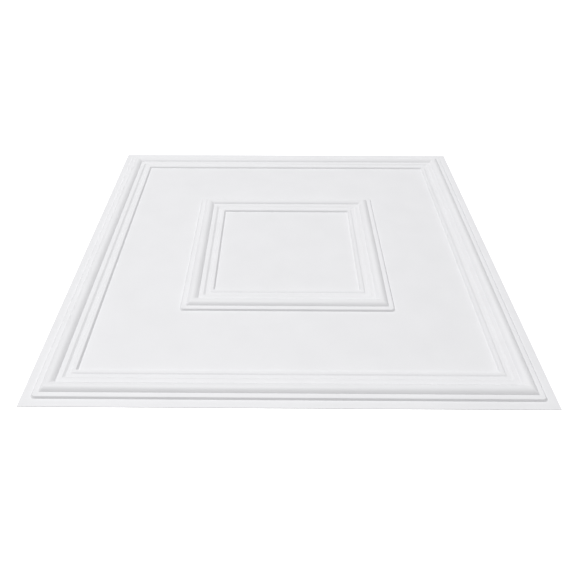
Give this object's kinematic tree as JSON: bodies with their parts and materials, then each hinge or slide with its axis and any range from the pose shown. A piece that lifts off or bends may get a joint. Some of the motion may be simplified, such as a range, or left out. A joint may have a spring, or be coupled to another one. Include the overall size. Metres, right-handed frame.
{
  "type": "pvc ceiling tile",
  "caption": "Square vacuum-formed white PVC ceiling tile with a raised border moulding and a smaller raised square moulding framing a flat middle panel.",
  "frame": {"origin": "middle of the tile's back, on the surface that it lies on", "axes": "+Z out of the show face, +X and +Y along the tile's two pairs of edges"},
  "size_m": [0.603, 0.603, 0.0072],
  "materials": {
    "pvc_sheet": "satin white rigid PVC"
  },
  "bodies": {
    "root": {"ceiling_tile": "pvc_sheet"}
  },
  "joints": []
}
